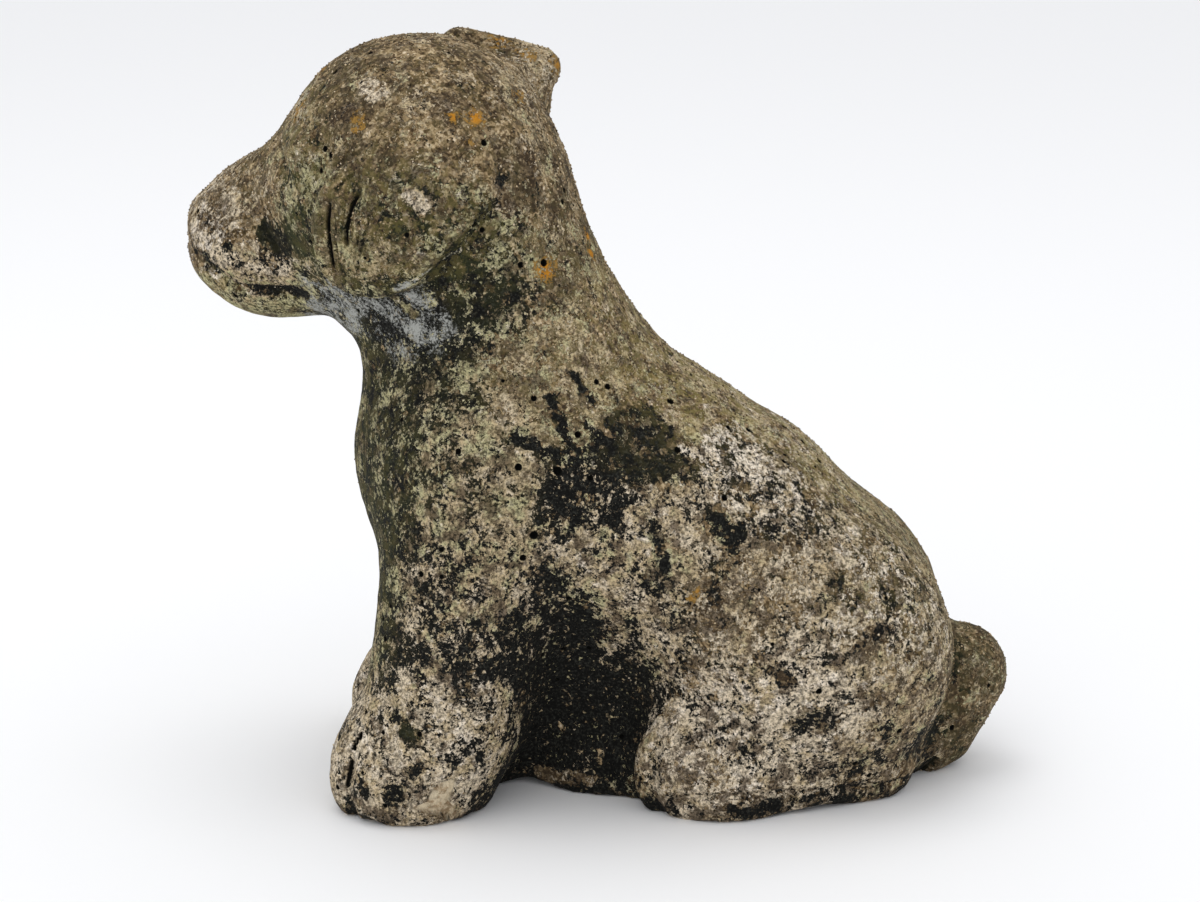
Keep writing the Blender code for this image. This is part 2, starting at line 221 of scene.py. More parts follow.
# How the weather has left each region: middle, reach, then the amount of each layer from 0 to 1
LAYERS = ("film_and_shade", "crust", "warm", "white", "brown", "green", "moss", "bloom")
REGIONS = {
    "paw": ((-65, 59, 37), 20, (0.9, 0.82, 0.8, 0.35, 0.2, 0.0, 0.05, 0.0)),
    "paw side": ((-45, 63, 30), 15, (0.9, 0.88, 0.9, 0.45, 0.1, 0.0, 0.0, 0.0)),
    "paw edge": ((-62, 58, 2), 12, (0.7, 0.55, 0.7, 0.1, 0.7, 0.0, 0.0, 0.0)),
    "leg": ((-55, 59, 58), 20, (1.0, 0.27, 0.6, 0.25, 0.3, 0.0, 0.0, 0.0)),
    "upper leg": ((-50, 57, 82), 18, (1.0, 0.54, 0.45, 0.1, 0.4, 0.0, 0.0, 0.0)),
    "shin": ((-78, 45, 60), 14, (1.0, 0.5, 0.1, 0.1, 0.2, 0.3, 0.3, 0.0)),
    "haunch low": ((65, 59, 44), 22, (0.85, 0.82, 0.9, 0.4, 0.25, 0.0, 0.0, 0.0)),
    "hind foot": ((29, 54, 28), 15, (0.6, 0.8, 0.9, 0.35, 0.45, 0.0, 0.0, 0.0)),
    "haunch": ((48, 56, 84), 22, (0.35, 0.6, 0.7, 0.1, 0.55, 0.0, 0.1, 0.0)),
    "flank": ((11, 54, 90), 18, (0.9, 0.72, 0.5, 0.2, 0.4, 0.0, 0.0, 0.0)),
    "flank low": ((15, 44, 60), 12, (0.95, 0.62, 0.6, 0.3, 0.2, 0.0, 0.0, 0.0)),
    "flank front": ((5, 50, 76), 10, (0.95, 0.62, 0.5, 0.25, 0.2, 0.0, 0.0, 0.0)),
    "shoulder": ((-41, 55, 120), 18, (0.9, 0.76, 0.35, 0.1, 0.35, 0.1, 0.1, 0.0)),
    "chest": ((-72, 34, 121), 20, (1.0, 0.24, 0.0, 0.0, 0.2, 0.4, 0.2, 0.0)),
    "chest low": ((-75, 36, 80), 18, (1.0, 0.3, 0.0, 0.0, 0.2, 0.4, 0.3, 0.0)),
    "chest front": ((-85, 0, 115), 25, (0.9, 0.3, 0.0, 0.0, 0.3, 0.5, 0.4, 0.1)),
    "shoulder top": ((-55, 41, 140), 15, (1.0, 0.5, 0.1, 0.0, 0.15, 0.2, 0.1, 0.0)),
    "nape": ((-16, 40, 150), 18, (0.1, 0.8, 0.35, 0.1, 0.35, 0.0, 0.35, 0.0)),
    "withers": ((5, 20, 155), 16, (0.15, 0.4, 0.4, 0.0, 0.4, 0.1, 0.6, 0.0)),
    "back": ((33, 17, 137), 18, (0.2, 0.5, 0.5, 0.15, 0.3, 0.1, 0.8, 0.0)),
    "loin": ((67, 11, 114), 18, (0.25, 0.6, 0.4, 0.35, 0.3, 0.1, 0.7, 0.0)),
    "below loin": ((56, 36, 108), 16, (0.75, 0.4, 0.7, 0.6, 0.6, 0.0, 0.1, 0.0)),
    "white patch": ((43, 31, 123), 9, (0.6, 0.62, 0.7, 0.95, 0.4, 0.0, 0.1, 0.0)),
    "armpit": ((-10, 31, 37), 26, (1.0, 0.03, 0.3, 0.0, 0.1, 0.0, 0.0, 0.0)),
    "belly": ((-12, 44, 66), 13, (1.0, 0.26, 0.4, 0.0, 0.1, 0.0, 0.0, 0.0)),
    "rib dark": ((-5, 53, 110), 10, (1.0, 0.18, 0.5, 0.1, 0.1, 0.0, 0.0, 0.0)),
    "rib patch": ((13, 43, 127), 11, (0.85, 0.1, 0.1, 0.0, 1.0, 0.1, 0.1, 0.0)),
    "rump": ((98, 46, 71), 20, (0.5, 0.5, 0.6, 0.5, 0.45, 0.1, 0.2, 0.0)),
    "rump low": ((100, 44, 32), 20, (0.5, 0.5, 0.5, 0.1, 0.6, 0.0, 0.0, 0.0)),
    "croup": ((112, 6, 78), 20, (0.4, 0.5, 0.3, 0.1, 0.4, 0.3, 0.4, 0.0)),
    "tail": ((131, 13, 38), 16, (0.2, 0.3, 0.2, 0.0, 0.9, 0.4, 0.1, 0.0)),
    "hind edge": ((60, 54, 3), 12, (0.45, 0.62, 0.8, 0.1, 0.7, 0.0, 0.0, 0.0)),
    "skull": ((-50, 26, 241), 22, (0.0, 0.12, 0.5, 0.1, 0.35, 0.0, 0.2, 0.0)),
    "crown": ((-55, 0, 254), 20, (0.0, 0.12, 0.5, 0.1, 0.4, 0.0, 0.2, 0.0)),
    "temple": ((-82, 26, 233), 15, (0.2, 0.14, 0.4, 0.1, 1.0, 0.2, 0.2, 0.0)),
    "brow": ((-97, 17, 224), 12, (0.25, 0.5, 0.3, 0.4, 0.4, 0.4, 0.5, 0.0)),
    "muzzle": ((-119, 1, 196), 15, (0.1, 0.6, 1.0, 0.25, 0.4, 0.0, 0.1, 0.0)),
    "muzzle top": ((-112, 4, 208), 12, (0.1, 0.25, 0.4, 0.0, 0.6, 0.3, 0.3, 0.0)),
    "lip": ((-128, 3, 186), 9, (0.5, 0.1, 0.6, 0.8, 0.95, 0.0, 0.0, 0.0)),
    "jaw": ((-115, 4, 168), 12, (0.7, 1.0, 0.0, 0.35, 0.0, 0.0, 0.5, 0.0)),
    "lip hollow": ((-109, 6, 187), 8, (1.0, 0.05, 0.0, 0.0, 0.0, 0.3, 0.0, 0.0)),
    "cheek": ((-98, 20, 200), 10, (0.9, 0.45, 0.0, 0.1, 0.3, 0.8, 0.3, 0.0)),
    "ear": ((-63, 48, 200), 16, (0.5, 0.3, 0.3, 0.2, 0.95, 0.4, 0.5, 0.0)),
    "ear tip": ((-75, 43, 183), 11, (0.5, 0.8, 0.2, 0.0, 0.3, 0.3, 0.4, 0.0)),
    "eye": ((-96, 25, 214), 9, (0.5, 0.5, 0.0, 0.3, 0.2, 0.5, 0.5, 0.0)),
    "behind ear": ((-41, 40, 188), 14, (0.7, 0.36, 0.1, 0.1, 0.5, 0.5, 0.4, 0.0)),
    "nape dark": ((-23, 29, 213), 9, (0.4, 0.2, 0.3, 0.0, 1.0, 0.2, 0.1, 0.0)),
    "neck dark": ((-32, 38, 172), 14, (1.0, 0.12, 0.1, 0.0, 0.2, 0.3, 0.0, 0.0)),
    "throat": ((-60, 34, 163), 13, (1.0, 0.1, 0.0, 0.1, 0.1, 0.0, 0.0, 0.8)),
    "under jaw": ((-90, 12, 165), 8.5, (1.0, 0.4, 0.0, 0.4, 0.1, 0.0, 0.1, 1.0)),
    "neck": ((-19, 24, 212), 14, (0.1, 0.2, 0.4, 0.0, 0.45, 0.1, 0.15, 0.0)),
    "neck side": ((-14, 30, 185), 13, (0.3, 0.45, 0.2, 0.0, 0.6, 0.1, 0.3, 0.0)),
    "raised ear": ((-22, 20, 244), 12, (0.0, 0.6, 0.7, 0.15, 0.1, 0.0, 0.2, 0.0)),
}

# How fast a region's share falls with the square of the distance, in reaches
REGION_FALL = 1.4

# Amounts of the layers in the marks below
BARE_FILM = (1.0, 0.0, 0.0, 0.0, 0.1, 0.0, 0.0, 0.0)
THIN_CRUST = (1.0, 0.22, 0.6, 0.1, 0.2, 0.0, 0.0, 0.0)
PALE_CRUST = (0.7, 0.85, 0.9, 0.6, 0.1, 0.0, 0.0, 0.0)
TAN_FULL = (0.8, 1.0, 0.8, 0.1, 0.1, 0.0, 0.0, 0.0)
BROWN_STAIN = (0.4, 0.24, 0.6, 0.1, 1.0, 0.0, 0.0, 0.0)
HALF_CRUST = (1.0, 0.42, 0.8, 0.2, 0.1, 0.0, 0.0, 0.0)
PALE_STREAK = (1.0, 0.55, 0.0, 0.7, 0.0, 0.0, 0.0, 1.0)
OLIVE_FULL = (0.9, 1.0, 0.1, 0.2, 0.1, 0.1, 0.3, 0.0)
SKULL_CRUST = (0.0, 0.85, 0.9, 0.35, 0.0, 0.0, 0.0, 0.0)
EAR_CRUST = (0.4, 0.7, 0.8, 0.4, 0.4, 0.0, 0.0, 0.0)
CHEEK_CRUST = (0.9, 0.6, 0.1, 0.3, 0.1, 0.3, 0.2, 0.1)
LIP_CORNER = (1.0, 0.1, 0.4, 0.0, 0.1, 0.2, 0.1, 0.0)
TOE_DIRT = (0.9, 0.12, 0.5, 0.1, 0.8, 0.3, 0.1, 0.0)
EDGE_DIRT = (0.85, 0.1, 0.6, 0.0, 1.0, 0.0, 0.0, 0.0)
WEB_DIRT = (0.3, 0.35, 0.9, 0.1, 1.0, 0.0, 0.0, 0.0)

# Marks that stand out from their region: both ends, reach, and the amounts. Their edges are ragged: size
# and depth of the lumps there, and between which distances, in reaches, the amounts take over.
MARK_LUMPS = 2.6
MARK_RAGGEDNESS = 0.5
MARK_EDGE = (-1.3, -0.7)
MARKS = [
    ((-75.0, -25.4, 239.6), (-70.2, -29.6, 237.4), 3.4, SKULL_CRUST),
    ((-59.6, -47.5, 207.5), (-55.8, -47.8, 203.6), 2.6, EAR_CRUST),
    ((-94.1, -22.3, 222.4), (-93.0, -22.6, 221.0), 1.5, PALE_CRUST),
    ((-48.0, -34.1, 233.4), (-49.5, -33.0, 235.0), 1.5, PALE_CRUST),
    ((-139.5, 14.0, 188.0), (-133.3, 7.4, 182.5), 2.2, PALE_CRUST),
    ((-127.3, 2.8, 188.0), (-127.3, 2.8, 184.0), 1.4, PALE_CRUST),
    ((-113.9, -4.3, 185.0), (-113.9, -4.3, 181.0), 1.6, PALE_CRUST),
    ((-131.5, 7.0, 177.4), (-128.0, 4.2, 174.8), 2.4, BARE_FILM),
    ((-127.0, 3.6, 173.6), (-118.0, 1.7, 168.6), 1.6, HALF_CRUST),
    ((-116.0, 1.3, 167.8), (-99.0, -5.0, 168.4), 2.5, THIN_CRUST),
    ((-100.0, -12.5, 180.0), (-93.0, -17.0, 177.0), 5.0, CHEEK_CRUST),
    ((-110.8, -4.0, 189.0), (-103.8, -10.2, 182.2), 3.6, LIP_CORNER),
    ((-124.4, 0.3, 182.2), (-121.4, -1.2, 177.4), 2.0, BARE_FILM),
    ((-120.5, 0.7, 172.4), (-101.3, -4.7, 171.7), 1.4, TAN_FULL),
    ((-122.0, 8.0, 161.5), (-104.0, 2.0, 161.5), 4.4, OLIVE_FULL),
    ((-62.0, -42.0, 178.5), (-50.5, -47.5, 190.4), 1.3, OLIVE_FULL),
    ((-67.0, -33.0, 171.5), (-60.0, -33.0, 166.8), 1.7, OLIVE_FULL),
    ((-16.2, -43.5, 141.5), (-8.7, -49.7, 123.0), 2.3, BARE_FILM),
    ((-9.3, -38.4, 148.7), (-2.3, -40.0, 139.1), 1.4, BARE_FILM),
    ((-3.9, -44.1, 132.8), (3.5, -45.2, 124.5), 1.8, BARE_FILM),
    ((-27.0, -51.5, 130.5), (-15.0, -49.5, 124.0), 2.4, BARE_FILM),
    ((38.0, -51.0, 101.5), (43.5, -50.5, 96.0), 4.6, BARE_FILM),
    ((19.3, -54.1, 95.2), (20.5, -54.8, 88.0), 2.4, BARE_FILM),
    ((-12.0, -52.0, 112.0), (3.0, -53.0, 107.0), 7.5, THIN_CRUST),
    ((67.0, -58.4, 34.0), (74.5, -57.2, 36.6), 4.2, THIN_CRUST),
    ((86.0, -54.4, 60.0), (92.0, -52.0, 65.0), 4.2, BROWN_STAIN),
    ((38.5, -57.0, 81.0), (37.0, -57.2, 71.0), 4.6, BROWN_STAIN),
    ((53.0, -58.8, 55.0), (60.0, -59.4, 50.0), 2.6, BROWN_STAIN),
    ((-61.0, -62.1, 32.6), (-64.0, -61.5, 34.6), 2.8, TOE_DIRT),
    ((-66.4, -58.5, 38.8), (-66.8, -58.5, 37.6), 1.9, THIN_CRUST),
    ((-69.6, -62.4, 14.6), (-67.6, -62.6, 12.8), 3.2, THIN_CRUST),
    ((-65.0, -63.3, 19.4), (-58.6, -63.3, 22.4), 2.0, THIN_CRUST),
    ((-49.2, -62.5, 24.8), (-46.8, -62.3, 22.6), 1.8, THIN_CRUST),
    ((-79.0, -58.5, 15.0), (-77.6, -59.2, 12.4), 2.2, THIN_CRUST),
    ((-40.5, -59.5, 30.0), (-37.0, -58.0, 19.0), 2.2, HALF_CRUST),
    ((44.0, -58.5, 5.5), (90.0, -46.5, 4.5), 3.2, EDGE_DIRT),
    ((-52.6, -33.4, 236.0), (-50.0, -33.4, 234.0), 3.0, BROWN_STAIN),
    ((-24.0, -27.7, 219.0), (-21.0, -27.0, 211.0), 3.4, BROWN_STAIN),
    ((-34.0, -37.0, 208.0), (-30.0, -35.0, 201.0), 3.6, BROWN_STAIN),
    ((-84.5, -24.0, 226.0), (-81.0, -29.0, 232.0), 3.8, BROWN_STAIN),
    ((-70.0, -18.0, 244.0), (-61.0, -22.0, 243.0), 3.0, BROWN_STAIN),
    ((-65.0, -42.8, 176.2), (-57.1, -45.2, 181.0), 1.0, PALE_STREAK),
    ((-56.0, -44.6, 182.0), (-44.5, -40.7, 189.4), 0.9, PALE_STREAK),
    ((-128.0, 4.0, 178.0), (-104.0, -8.0, 176.5), 4.6, HALF_CRUST),
    ((27.0, -39.0, 123.5), (36.0, -37.0, 119.5), 2.2, PALE_CRUST),
    ((45.0, -36.0, 117.0), (52.0, -34.5, 113.0), 2.5, PALE_CRUST),
    ((40.0, -59.5, 13.5), (70.0, -53.5, 12.0), 1.6, PALE_CRUST),
    ((-27.0, -23.0, 4.0), (8.0, -42.0, 6.5), 3.4, WEB_DIRT),
]

# Where a surface faces down far enough to be an underside, and where it is near the ground
UNDERSIDE = (0.15, 0.7)
NEAR_GROUND = (-7, -0.5)

# Painted shade: undersides, the last units above the ground and each unit of hollow get this much more film
# and less crust, and near the ground more brown stain
SHADE_FILM_UNDER, SHADE_FILM_LOW, SHADE_FILM_HOLLOW = 0.4, 0.2, 0.8
SHADE_CRUST_UNDER, SHADE_CRUST_LOW, SHADE_CRUST_HOLLOW = 0.15, 0.3, 0.6
SHADE_BROWN_LOW = 0.9
HOLLOW_ROUNDS = 6

# How far the painted shade of grooves and of bowls reaches past their edges, and how soft the chip's edge
# is
GROOVE_DARK_MARGIN = 0.15
BOWL_DARK_MARGIN = 0.1
CHIP_SOFTNESS = (-0.2, 0.3)

# How much the film, with the painted shade laid as film, and the white crust hide the coarse grains
FILM_AND_SHADE_HIDES = 1.3
WHITE_HIDES = 0.5

# Colours of the surface, as linear red, green and blue
SAND = [
    (0.00, (0.018, 0.012, 0.006)),
    (0.24, (0.062, 0.039, 0.018)),
    (0.45, (0.180, 0.123, 0.063)),
    (0.66, (0.360, 0.262, 0.146)),
    (0.84, (0.560, 0.440, 0.280)),
    (1.00, (0.720, 0.610, 0.460)),
]
BROWN = (0.043, 0.029, 0.017)
GREY_SAND = (0.170, 0.140, 0.095)
# Near-black film, also laid as painted shade on undersides, near the ground and in hollows
FILM_AND_SHADE = (0.0035, 0.0035, 0.003)
FILM_PALE = (0.034, 0.034, 0.028)
GRIME = (0.092, 0.064, 0.041)
OLIVE_CRUST = (0.415, 0.380, 0.215)
TAN_CRUST = (0.430, 0.335, 0.200)
WARM_CRUST = (0.585, 0.490, 0.355)
WHITE_CRUST = (0.730, 0.640, 0.520)
ALGAE = (0.060, 0.068, 0.022)
MOSS = (0.275, 0.225, 0.070)
BLOOM = (0.420, 0.425, 0.395)
ORANGE = (0.520, 0.215, 0.014)
OCHRE = (0.300, 0.170, 0.040)
FRESH = (0.380, 0.270, 0.160)
FRESH_PALE = (0.760, 0.640, 0.450)
# Painted shade inside grooves and burst bubbles
PIT_SHADE = (0.004, 0.004, 0.003)

# The levels of noise at which each layer starts and is full
STAIN_EDGE = (0.47, 0.56)
FILM_AND_SHADE_EDGE = (0.487, 0.513)
FILM_SPECKS = (0.46, 0.72)
CRUST_EDGE = (0.494, 0.506)
RIM_START = (0.498, 0.506)
RIM_END = (0.508, 0.52)
CRUST_HOLES = (0.80, 0.82)
CRUST_FLECKS = (0.615, 0.635)
GRIME_EDGE = (0.52, 0.60)
MOSS_EDGE = (0.46, 0.56)
ALGAE_EDGE = (0.42, 0.58)
BLOOM_EDGE = (1.06, 1.26)
BROKEN_EDGE = (0.38, 0.54)
ORANGE_EDGE = (0.45, 0.60)

# How strongly each one colours what lies under it
RIM_STRENGTH = 0.35
GRIME_STRENGTH = 0.85
MOSS_STRENGTH = 0.6
ALGAE_STRENGTH = 0.55
BLOOM_STRENGTH = 0.85
FRESH_STRENGTH = 0.95
ORANGE_STRENGTH = 0.9

# The fine relief in the finish, in units, and how much each part of it stands out
RELIEF = 0.55
CRUST_RELIEF = 0.45
GRAIN_RELIEF = 0.25
FINE_RELIEF = 0.5
ORANGE_RELIEF = 0.6
SHINE = 0.12

# The studio
FLOOR_RADIUS = 8.0
FLOOR_COLOUR = (0.93, 0.93, 0.935, 1)
SKY_COLOUR = (0.97, 0.98, 1.0, 1)
SKY_STRENGTH = 0.93
CAMERA_DISTANCE = 0.954
CAMERA_RISE = math.radians(15)
CAMERA_AIM = (-0.0002, 0.0, 0.1125)
CAMERA_LENS = 84.06
SENSOR_WIDTH = 36

# Its soft lights: place, width, watts and colour. They are turned to one place.
LIGHT_AIM = (0, 0, 0.1)
LIGHTS = {
    "top_light": ((-0.2, 0.2, 1.7), 0.9, 5, (1, 1, 1)),
    "front_light": ((-0.8, -1.5, 1.6), 1.8, 5.5, (1.0, 0.985, 0.96)),
}


def points_of(mesh):
    """The mesh's points, in units."""
    points = np.empty(len(mesh.vertices) * 3)
    mesh.vertices.foreach_get("co", points)
    return points.reshape(-1, 3) / UNIT


def set_points(mesh, points):
    """Puts the mesh's points where they are given in units."""
    mesh.vertices.foreach_set("co", (points * UNIT).ravel())
    mesh.update()


def normals_of(mesh):
    """The mesh's smooth normals."""
    normals = np.empty(len(mesh.vertices) * 3)
    mesh.vertex_normals.foreach_get("vector", normals)
    return normals.reshape(-1, 3)


def ease(value, low, high):
    """0 below low, 1 above high, and a smooth step between them."""
    share = np.clip((value - low) / (high - low), 0, 1)
    return share * share * (3 - 2 * share)


def lumps(points, size, seed):
    """Smooth noise from about -1 to 1, in lumps of one size, moved aside for each seed."""
    shifted = points / size + seed * 17.3
    return np.array([noise.noise(place) for place in shifted.tolist()])


def from_segment(points, start, end):
    """How far along a segment each point lies, from 0 to 1, and how far away from it."""
    start = np.array(start)
    span = np.array(end) - start
    share = np.clip((points - start) @ span / (span @ span), 0, 1)
    return share, np.linalg.norm(points - start - share[:, None] * span, axis=1)


def curve_through(corners, steps=6):
    """A smooth line through a few corners."""
    ends = np.array([corners[0], *corners, corners[-1]], float)
    line = []
    for before, start, end, after in zip(ends, ends[1:], ends[2:], ends[3:]):
        for share in np.arange(steps) / steps:
            pull = (end - before) * share + (2 * before - 5 * start + 4 * end - after) * share**2
            pull += (3 * start - before - 3 * end + after) * share**3
            line.append(start + pull / 2)
    return np.array(line + [ends[-1]])


def nearness(points, corners, half_width):
    """1 on a smooth line and 0 from half a width away, easing out towards both ends."""
    line = curve_through(corners)
    best = np.full(len(points), np.inf)
    share_along = np.zeros(len(points))
    for step, (start, end) in enumerate(zip(line, line[1:])):
        share, gap = from_segment(points, start, end)
        closer = gap < best
        best[closer] = gap[closer]
        share_along[closer] = (step + share[closer]) / (len(line) - 1)
    fade = ease(share_along, 0, GROOVE_RUN_OUT) * ease(1 - share_along, 0, GROOVE_RUN_OUT)
    return np.clip(1 - (best / half_width) ** 2, 0, 1) * fade


def in_head(points):
    """Places in the head's own frame."""
    return (points - HEAD_CENTRE) @ HEAD_AXES.T


def from_head(x, y, z):
    """A place given in the head's own frame."""
    return HEAD_CENTRE + np.array((x, y, z)) @ HEAD_AXES


def slots(points, widen=0.0):
    """Depth of the crisp carving, and how dark the painted shade in it is at each point, 0 to 1."""
    head = in_head(points)
    side = head[:, (0, 2)]
    near_head = (np.abs(side) < HEAD_REACH).all(axis=1) & (head[:, 2] > HEAD_BOTTOM)
    left = near_head & (head[:, 1] < EAR_SIDE)
    depth = np.zeros(len(points))
    painted_shade = np.zeros(len(points))
    for group, where in ((EAR_SLOTS, left), (FACE_SLOTS, near_head)):
        for line, half_width, deep in group:
            close = nearness(side[where], line, half_width + widen)
            depth[where] = np.maximum(depth[where], close * deep)
            painted_shade[where] = np.maximum(painted_shade[where], close * min(1, deep / FULL_DEPTH))
    foot_side = np.where(points[:, 0] < 0, *FOOT_SIDES)
    near_foot = (points[:, 2] < FOOT_HEIGHT) & (points[:, 1] < foot_side)
    for line, half_width, deep, shade in FOOT_SLOTS:
        close = nearness(points[near_foot][:, (0, 2)], line, half_width + widen)
        depth[near_foot] = np.maximum(depth[near_foot], close * deep)
        painted_shade[near_foot] = np.maximum(painted_shade[near_foot], close * shade)
    return depth, painted_shade


def edge_list(mesh):
    """The two ends of every edge."""
    ends = np.empty(len(mesh.edges) * 2, np.int64)
    mesh.edges.foreach_get("vertices", ends)
    return ends.reshape(-1, 2)


def keep_result(piece):
    """Gives the piece the plain mesh that its modifiers make, in their place."""
    view = bpy.context.evaluated_depsgraph_get()
    mesh = bpy.data.meshes.new_from_object(piece.evaluated_get(view))
    piece.modifiers.clear()
    before = piece.data
    piece.data = mesh
    bpy.data.meshes.remove(before)


def modified(piece, kind, **settings):
    """Applies one modifier."""
    change = piece.modifiers.new(kind.title(), kind)
    for name, value in settings.items():
        setattr(change, name, value)
    keep_result(piece)


def merged_copy(node, name):
    """A new piece with a CAD node's mesh, its loose triangles joined at their shared points."""
    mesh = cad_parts[node].data.copy()
    mesh.materials.clear()
    work = bmesh.new()
    work.from_mesh(mesh)
    bmesh.ops.remove_doubles(work, verts=work.verts, dist=1e-6)
    work.to_mesh(mesh)
    work.free()
    piece = bpy.data.objects.new(name, mesh)
    bpy.context.scene.collection.objects.link(piece)
    return piece


def divide_near(piece, fine):
    """Halves the edges whose two ends are both marked fine."""
    work = bmesh.new()
    work.from_mesh(piece.data)
    work.verts.ensure_lookup_table()
    edges = [edge for edge in work.edges if all(fine[end.index] for end in edge.verts)]
    bmesh.ops.subdivide_edges(work, edges=edges, cuts=1, use_grid_fill=True)
    work.to_mesh(piece.data)
    work.free()


def bubble_places(points, normals):
    """Every burst bubble: its mouth on the surface, the way out of it, and its radius."""
    tree = kdtree.KDTree(len(points))
    for index, place in enumerate(points):
        tree.insert(place, index)
    tree.balance()
    chance = np.random.default_rng(RANDOM_SEED)
    wanted = list(BUBBLES)
    back, side, up = NOSTRIL
    wanted += [(from_head(back, across, up), NOSTRIL_RADIUS) for across in (-side, side)]
    open_side = (normals[:, 2] > BUBBLE_OVERHANG) & (points[:, 2] > LOWEST_BUBBLE)
    for index in chance.choice(np.flatnonzero(open_side), RANDOM_BUBBLES):
        wanted.append((points[index], chance.uniform(*RANDOM_RADII)))
    found = []
    for place, radius in wanted:
        index = tree.find(place)[1]
        found.append((points[index], normals[index], radius))
    return found


def bowls(points, bubbles, widen=0.0):
    """Depth of the burst bubbles at each point, and how dark the painted shade in them is, 0 to 1."""
    depth = np.zeros(len(points))
    painted_shade = np.zeros(len(points))
    for place, out, radius in bubbles:
        reach = radius + widen
        close = np.flatnonzero((np.abs(points - place) < 2 * reach).all(axis=1))
        offset = points[close] - place
        gap = np.linalg.norm(offset - (offset @ out)[:, None] * out, axis=1) / reach
        bowl = np.sqrt(np.clip(1 - gap**2, 0, 1))
        depth[close] = np.maximum(depth[close], bowl * radius * BOWL_DEPTH)
        painted_shade[close] = np.maximum(painted_shade[close], np.clip(bowl * BOWL_DARKENING, 0, 1))
    return depth, painted_shade


def in_chip(points):
    """How far each point lies inside the fresh chip's outline, and 0 or less outside it."""
    inside = np.full(len(points), FAR_OUTSIDE)
    close = (points < CHIP_CORNER).all(axis=1)
    side = points[close][:, (0, 2)]
    within = np.zeros(len(side), bool)
    edge = np.full(len(side), np.inf)
    for start, end in zip(CHIP_OUTLINE, CHIP_OUTLINE[1:] + CHIP_OUTLINE[:1]):
        edge = np.minimum(edge, from_segment(side, start, end)[1])
        if start[1] != end[1]:
            crossing = (side[:, 1] - start[1]) * (end[0] - start[0]) / (end[1] - start[1])
            level = (side[:, 1] < start[1]) != (side[:, 1] < end[1])
            within ^= level & (side[:, 0] < start[0] + crossing)
    inside[close] = np.where(within, edge, -edge)
    return inside


def chipped(points):
    """Depth of the fresh chip: a crisp edge, then two facets that slope to a ridge between them."""
    inside = in_chip(points)
    along, up, shift = CHIP_RIDGE
    from_ridge = np.abs(points[:, 0] * along - points[:, 2] * up + shift)
    fall = CHIP_EDGE_DEPTH + inside * CHIP_INWARD_FALL + from_ridge * CHIP_RIDGE_FALL
    rough = lumps(points, size=1.8, seed=9) * BROKEN_RELIEF
    return np.where(inside > 0, np.minimum(fall, CHIP_DEPTH) + rough, 0)


def knocked_flat(points, normals):
    """Cuts the old chips: what stood above each one's flat is brought down to it."""
    for number, (middle, depth, width) in enumerate(CHIPS):
        gap = np.linalg.norm(points - np.array(middle), axis=1)
        close = np.flatnonzero(gap < width)
        out = normals[close].mean(axis=0)
        out /= np.linalg.norm(out)
        level = points[gap.argmin()] @ out - depth
        rough = lumps(points[close], size=2.6, seed=number) * BROKEN_RELIEF
        above = np.maximum(points[close] @ out - level - rough, 0)
        points[close] -= above[:, None] * out


def casting():
    """The whole casting, finer than its solid: smooth, worn, carved, chipped and pitted."""
    piece = merged_copy("puppy", "puppy_casting")
    modified(piece, "SUBSURF", levels=2, render_levels=2)
    modified(piece, "REMESH", mode="VOXEL", voxel_size=GRID * UNIT)
    modified(piece, "SMOOTH", factor=0.5, iterations=3)
    points = points_of(piece.data)
    bubbles = bubble_places(points, normals_of(piece.data))
    for widen in FINE_MARGINS:
        points = points_of(piece.data)
        fine = (slots(points, widen)[0] > 0) | (bowls(points, bubbles, widen)[0] > 0)
        fine |= in_chip(points) > -widen
        divide_near(piece, fine)
    points = points_of(piece.data)
    normals = normals_of(piece.data)
    worn = sum(lumps(points, size, seed) * height for size, height, seed in WEAR)
    depth = slots(points)[0] + bowls(points, bubbles)[0] + chipped(points)
    points += normals * (worn - depth)[:, None]
    knocked_flat(points, normals)
    points[points[:, 2] < GROUND_HEIGHT, 2] = 0
    set_points(piece.data, points)
    piece.data.calc_loop_triangles()
    modified(piece, "DECIMATE", ratio=MOST_TRIANGLES / len(piece.data.loop_triangles))
    piece.data.shade_smooth()
    return piece, bubbles


def hollowness(mesh, points, normals, rounds):
    """How far each point lies below its neighbours, evened out over a few rounds."""
    ends = edge_list(mesh)
    count = np.maximum(np.bincount(ends.ravel(), minlength=len(points)), 1)

    def even(values):
        total = np.zeros_like(values)
        np.add.at(total, ends[:, 0], values[ends[:, 1]])
        np.add.at(total, ends[:, 1], values[ends[:, 0]])
        return total / (count if values.ndim == 1 else count[:, None])

    smooth = points
    for _ in range(rounds):
        smooth = even(smooth)
    return np.einsum("ij,ij->i", smooth - points, normals)


def blended(points):
    """The amount of each weathering layer at each point, blended between the regions."""
    mirrored = points * (1, 0, 1) + np.abs(points) * (0, 1, 0)
    total = np.zeros((len(points), len(LAYERS)))
    weight = np.full(len(points), 1e-6)
    for middle, reach, amounts in REGIONS.values():
        gap = np.linalg.norm(mirrored - middle, axis=1) / reach
        share = np.exp(-REGION_FALL * gap**2)
        total += share[:, None] * amounts
        weight += share
    amounts = total / weight[:, None]
    ragged = lumps(points, MARK_LUMPS, seed=4) * MARK_RAGGEDNESS
    for start, end, reach, special in MARKS:
        gap = from_segment(points, start, end)[1] / reach
        share = ease(-gap - ragged, *MARK_EDGE)[:, None]
        amounts += share * (np.array(special) - amounts)
    return amounts


def add_layer(mesh, name, values):
    """Keeps one amount for each point with the mesh, for its material to read."""
    layer = mesh.attributes.new(name, "FLOAT", "POINT")
    layer.data.foreach_set("value", np.asarray(values, np.float32))


